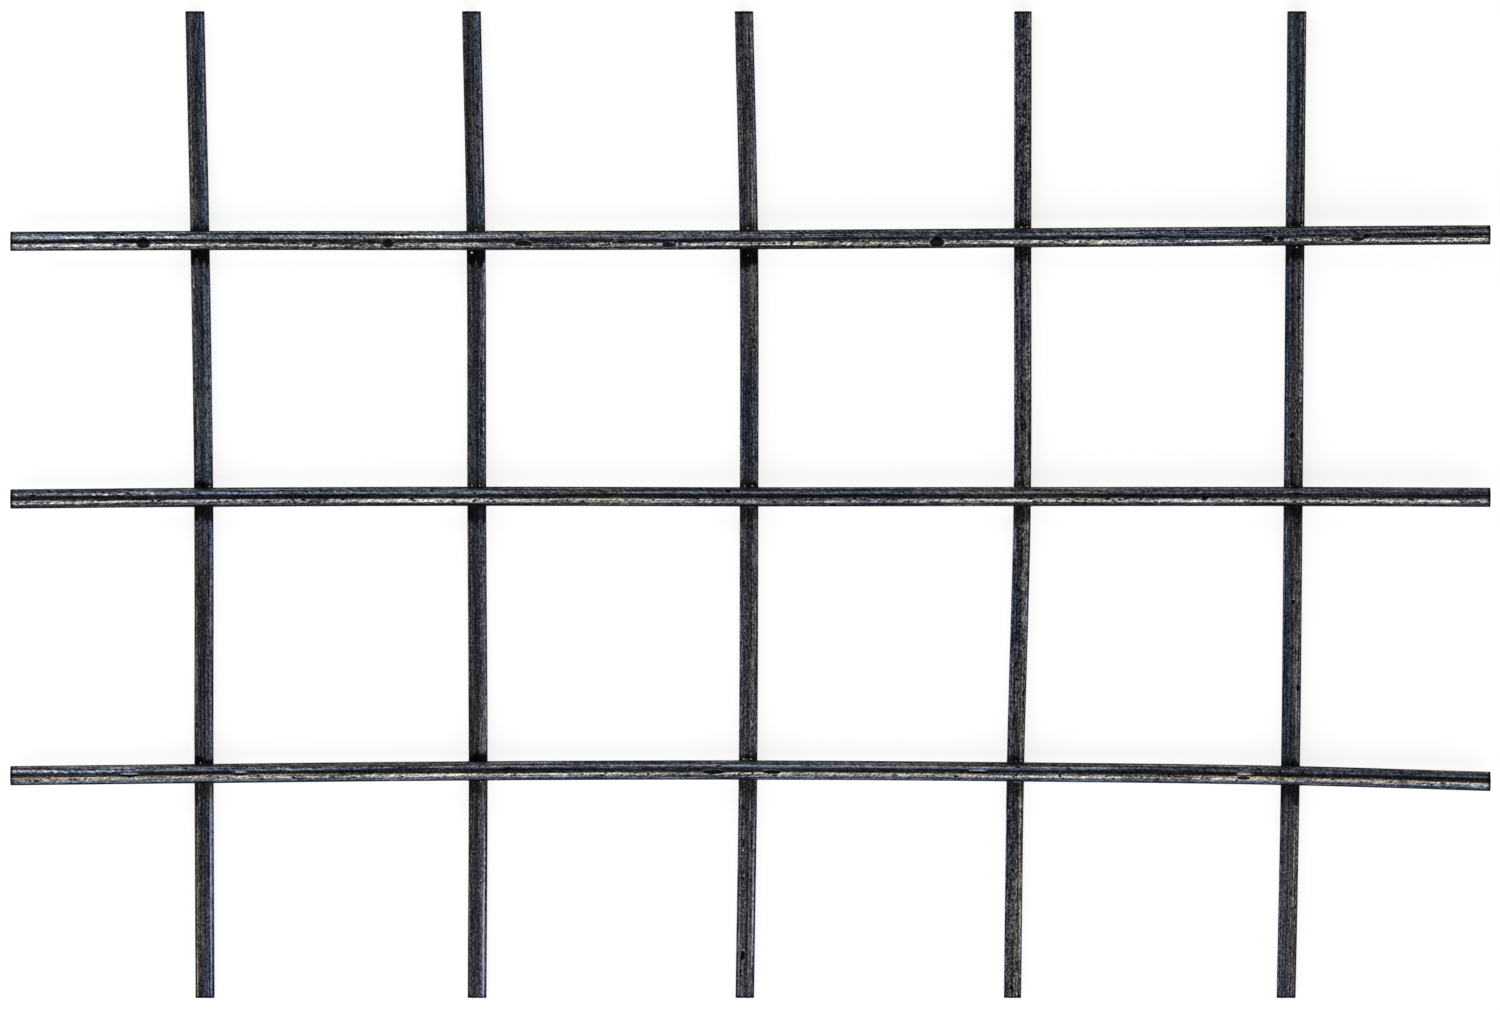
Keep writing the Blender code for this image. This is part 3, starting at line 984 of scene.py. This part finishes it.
def collar(rng, centre, reach, height, segments=48, rings=16):
    """The metal squeezed out of a weld: a flat lens with a ragged rim."""
    angle = np.arange(segments) / segments * math.tau
    fall = np.linspace(0, math.pi, rings + 1)[:, None]
    rim = 1 + 0.13 * round_noise(rng, angle, 9) + 0.05 * round_noise(rng, angle, 19)
    lumps = 1 + 0.10 * wire_noise(rng, fall[:, 0], angle, 0.5, 13)
    out = reach * rim * np.sin(fall) ** 0.8
    points = np.stack([out * np.cos(angle), out * np.sin(angle), height / 2 * lumps * np.cos(fall)], -1)
    return points + np.array(centre)


def bead(rng, centre, radius, segments=12, rings=8):
    """A drop of spatter, a little out of round."""
    angle = np.arange(segments) / segments * math.tau
    fall = np.linspace(0, math.pi, rings + 1)[:, None]
    shape = [np.sin(fall) * np.cos(angle), np.sin(fall) * np.sin(angle), np.cos(fall) * np.ones(segments)]
    return np.stack(shape, -1) * radius * (1 + 0.12 * rng.uniform(-1, 1, 3)) + np.array(centre)


def weld_parts(rng, line, cross):
    """The collar and beads of one weld, each with how bright it is."""
    x = float(cross.side(line.side(np.array(cross.place))))
    y = float(line.side(np.array(x)))
    half_width = math.sqrt(wire_radius**2 - (wire_radius - SET_DOWN / 2) ** 2)
    seat = (cross.level + cross.radius + line.level - line.radius) / 2

    def on_cross_wire(off_x, lift):
        return cross.level + math.sqrt(cross.radius**2 - off_x**2) + lift

    made = [(collar(rng, (x, y, seat), half_width + COLLAR_REACH, COLLAR_HEIGHT), 0.0)]
    for _ in range(SMALL_BEADS):
        off_x = rng.uniform(-1.3, 1.3) * MM
        off_y = rng.choice((-1, 1)) * rng.uniform(1.55, 2.3) * MM
        size = rng.uniform(0.05, 0.13) * MM
        made.append((bead(rng, (x + off_x, y + off_y, on_cross_wire(off_x, 0.2 * size)), size), 0.0))
    for at_line, at_cross, off_x, off_y, size in BRIGHT_BEADS:
        if (at_line, at_cross) == (line.number, cross.number):
            centre = (x + off_x * MM, y + off_y * MM, on_cross_wire(off_x * MM, 0.6 * size * MM))
            made.append((bead(rng, centre, size * MM), 1.0))
    return made


def weld_mesh(wires):
    """The metal of all the welds."""
    rng = np.random.default_rng(WELD_SEED)
    parts = []
    for line in wires:
        for cross in wires:
            if line.is_line and not cross.is_line:
                parts += weld_parts(rng, line, cross)

    points, quads, uvs, bright = [], [], [], []
    base = 0
    columns = math.ceil(math.sqrt(len(parts)))
    for number, (grid, is_bright) in enumerate(parts):
        rows, segments = grid.shape[:2]
        quads.append(base + grid_quads(rows, segments)[:, ::-1])
        u = (np.arange(segments + 1) / segments * 0.9 + 0.05 + number % columns) / columns
        v = (np.arange(rows) / (rows - 1) * 0.9 + 0.05 + number // columns) / columns
        uvs.append(np.stack([
            np.stack(np.broadcast_arrays(u[None, side:segments + side], v[row:rows - 1 + row, None]), -1)
            for row, side in QUAD_CORNERS[::-1]
        ], 2).reshape(-1, 2))
        points.append(grid.reshape(-1, 3))
        bright.append(np.full(rows * segments, is_bright))
        base += rows * segments
    points = np.concatenate(points)
    values = {"stock": points / MM, "bright": np.concatenate(bright)}
    return mesh_from_grid("weld_flash", points, np.concatenate(quads), np.concatenate(uvs), values)


# The panel

def place_piece(name, mesh, material):
    """Puts a piece into the scene, in place of the solid."""
    made = bpy.data.objects.new(name, mesh)
    bpy.context.scene.collection.objects.link(made)
    mesh.materials.append(material)
    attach(made, "root")
    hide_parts("mesh_panel")


def build_panel():
    wires = make_wires()
    # The line wires' steel shows their painted highlights, dark reflection and shade
    line_steel = drawn_steel("line_wire_painted_sheen", 0.50, 0.30, 0.44, 0.28)
    cross_steel = drawn_steel("dark_cross_wire", 0.34, 0.22, 0.42, 0.14)
    for order, wire in enumerate(wires):
        place_piece(wire.name, wire_mesh(wire, wires, order), line_steel if wire.is_line else cross_steel)
    place_piece("weld_flash", weld_mesh(wires), weld_steel())


# The stage

def floor_material():
    """White paper. The camera and mirrors see it white with its shadows, and it lights the panel less."""
    material = bpy.data.materials.new("white_paper")
    material.use_nodes = True
    tree = material.node_tree
    tree.nodes.clear()
    out = tree.nodes.new("ShaderNodeOutputMaterial")
    lit = tree.nodes.new("ShaderNodeBsdfDiffuse")
    lit.inputs["Color"].default_value = (0.80, 0.80, 0.80, 1)
    seen = tree.nodes.new("ShaderNodeBsdfDiffuse")
    seen.inputs["Color"].default_value = (0.26, 0.26, 0.26, 1)
    glow = tree.nodes.new("ShaderNodeEmission")
    place = tree.nodes.new("ShaderNodeNewGeometry")
    far = tree.nodes.new("ShaderNodeVectorMath")
    far.operation = "LENGTH"
    tree.links.new(place.outputs["Position"], far.inputs[0])
    rise = tree.nodes.new("ShaderNodeMapRange")
    rise.inputs["From Min"].default_value = 0.25
    rise.inputs["From Max"].default_value = 1.2
    rise.inputs["To Min"].default_value = 0.80
    rise.inputs["To Max"].default_value = 1.0
    tree.links.new(far.outputs["Value"], rise.inputs["Value"])
    tree.links.new(rise.outputs[0], glow.inputs["Strength"])
    both = tree.nodes.new("ShaderNodeAddShader")
    tree.links.new(seen.outputs[0], both.inputs[0])
    tree.links.new(glow.outputs[0], both.inputs[1])
    path = tree.nodes.new("ShaderNodeLightPath")
    any_seen = path.outputs["Is Camera Ray"]
    for name in ("Is Glossy Ray", "Is Transmission Ray"):
        larger = tree.nodes.new("ShaderNodeMath")
        larger.operation = "MAXIMUM"
        tree.links.new(any_seen, larger.inputs[0])
        tree.links.new(path.outputs[name], larger.inputs[1])
        any_seen = larger.outputs[0]
    choose = tree.nodes.new("ShaderNodeMixShader")
    tree.links.new(any_seen, choose.inputs[0])
    tree.links.new(lit.outputs[0], choose.inputs[1])
    tree.links.new(both.outputs[0], choose.inputs[2])
    tree.links.new(choose.outputs[0], out.inputs["Surface"])
    return material


def build_floor():
    mesh = bpy.data.meshes.new("floor")
    reach = 12.0
    # Just under the wires' lowest ridge
    low = -0.00004
    corners = [(-reach, -reach, low), (reach, -reach, low), (reach, reach, low), (-reach, reach, low)]
    mesh.from_pydata(corners, [], [(0, 1, 2, 3)])
    floor = bpy.data.objects.new("floor", mesh)
    bpy.context.scene.collection.objects.link(floor)
    mesh.materials.append(floor_material())


LAMP_DISTANCE = 0.55
WHITE = (1.0, 1.0, 1.0)
COOL_WHITE = (0.89, 0.95, 1.0)


def softbox(name, near, far, left, right, radiance, colour):
    """A long soft lamp beside the panel, from left to right in metres.

    Near and far are how many degrees its long edges are from straight up, towards the front.
    """
    length = right - left
    tilt = math.radians(near + far) / 2
    height = 2 * LAMP_DISTANCE * math.tan(math.radians(abs(far - near)) / 2)
    lamp = bpy.data.lights.new(name, "AREA")
    lamp.shape = "RECTANGLE"
    lamp.size = length
    lamp.size_y = height
    lamp.energy = radiance * math.pi * length * height
    lamp.color = colour
    made = bpy.data.objects.new(name, lamp)
    made.location = ((left + right) / 2, -LAMP_DISTANCE * math.sin(tilt), LAMP_DISTANCE * math.cos(tilt))
    made.rotation_euler = (tilt, 0, 0)
    made.visible_camera = False
    bpy.context.scene.collection.objects.link(made)


def build_world():
    """Dim overhead, lighter to the right, a little lighter to the left, and lightest round the horizon."""
    world = bpy.data.worlds.new("studio")
    bpy.context.scene.world = world
    world.use_nodes = True
    tree = world.node_tree
    background = tree.nodes["Background"]
    background.inputs["Color"].default_value = (1.0, 1.0, 1.0, 1.0)
    place = tree.nodes.new("ShaderNodeTexCoord")
    split = tree.nodes.new("ShaderNodeSeparateXYZ")
    tree.links.new(place.outputs["Generated"], split.inputs[0])

    def ramped(source, low, high, out_low, out_high):
        made = tree.nodes.new("ShaderNodeMapRange")
        made.interpolation_type = "SMOOTHSTEP"
        tree.links.new(source, made.inputs["Value"])
        for name, value in (("From Min", low), ("From Max", high), ("To Min", out_low), ("To Max", out_high)):
            made.inputs[name].default_value = value
        return made.outputs[0]

    def joined(operation, a, b):
        made = tree.nodes.new("ShaderNodeMath")
        made.operation = operation
        tree.links.new(a, made.inputs[0])
        tree.links.new(b, made.inputs[1])
        return made.outputs[0]

    right = ramped(split.outputs["X"], 0.2, 1.0, 0.13, 0.50)
    left = ramped(split.outputs["X"], -1.0, -0.3, 0.10, 0.0)
    horizon = ramped(split.outputs["Z"], 0.0, 0.25, 0.6, 0.0)
    tree.links.new(joined("MAXIMUM", joined("ADD", right, left), horizon), background.inputs["Strength"])


def build_lights():
    softbox("softbox_front", 24, 76, -0.85, 0.85, 2.2, WHITE)
    softbox("softbox_back", -32, -70, -0.10, 0.15, 0.85, COOL_WHITE)
    softbox("softbox_back_left", -32, -70, -1.2, -0.10, 2.7, COOL_WHITE)
    build_world()


SENSOR_WIDTH = 36
CAMERA_DISTANCE = 4.0
PICTURE_WIDTH = 0.2784
PICTURE_MIDDLE = (-0.00008, -0.00007, 0.003)


def build_camera():
    """Straight above the picture's middle, far enough away that the view hardly spreads."""
    data = bpy.data.cameras.new("camera")
    data.sensor_width = SENSOR_WIDTH
    data.lens = SENSOR_WIDTH * CAMERA_DISTANCE / PICTURE_WIDTH
    data.clip_end = 100
    camera = bpy.data.objects.new("camera", data)
    x, y, z = PICTURE_MIDDLE
    camera.location = (x, y, z + CAMERA_DISTANCE)
    bpy.context.scene.collection.objects.link(camera)
    bpy.context.scene.camera = camera


build_panel()
build_floor()
build_lights()
build_camera()
bpy.context.scene.view_settings.view_transform = "Standard"
